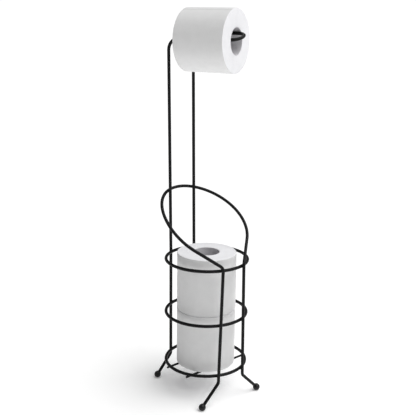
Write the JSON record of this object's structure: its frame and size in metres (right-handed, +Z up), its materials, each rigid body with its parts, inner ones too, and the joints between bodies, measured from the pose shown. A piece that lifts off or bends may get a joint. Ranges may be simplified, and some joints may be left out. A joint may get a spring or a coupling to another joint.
{
  "type": "toilet paper holder",
  "caption": "Free-standing bent-wire toilet paper stand: a hairpin arm on a tall mast holds a roll, and a ringed wire cage with a slanted hoop stores spare rolls on ball feet.",
  "frame": {"origin": "on the floor, at the middle of the whole object's outline seen from above", "axes": "+Z up along the mast, +X out along the hairpin arm towards its tip, +Y to the left of the arm"},
  "size_m": [0.203, 0.191, 0.7008],
  "materials": {
    "black_wire": "satin",
    "ball_foot": "satin",
    "tissue": "matte",
    "roll_core": "matte"
  },
  "bodies": {
    "stand": {"mast_wire": "black_wire", "scoop_wire": "black_wire", "top_ring": "black_wire", "middle_ring": "black_wire", "bottom_ring": "black_wire", "base_wire_front": "black_wire", "base_wire_rear": "black_wire", "rear_left_foot": "ball_foot", "rear_right_foot": "ball_foot", "front_left_foot": "ball_foot", "front_right_foot": "ball_foot"},
    "hung_roll": {"hung_paper": "tissue", "hung_core": "roll_core"},
    "spare_lower_roll": {"spare_lower_paper": "tissue", "spare_lower_core": "roll_core"},
    "spare_upper_roll": {"spare_upper_paper": "tissue", "spare_upper_core": "roll_core"}
  },
  "joints": [
    {"name": "hung_roll_spin", "type": "hinge", "parent": "stand", "child": "hung_roll", "pos_m": [-0.01348, 0.03232, 0.64482], "axis": [1, 0, 0], "continuous": true},
    {"name": "spare_lower_lift", "type": "slide", "parent": "stand", "child": "spare_lower_roll", "axis": [0, 0, 1], "range_m": [0, 0.12]},
    {"name": "spare_upper_lift", "type": "slide", "parent": "spare_lower_roll", "child": "spare_upper_roll", "axis": [0, 0, 1], "range_m": [0, 0.18]}
  ]
}
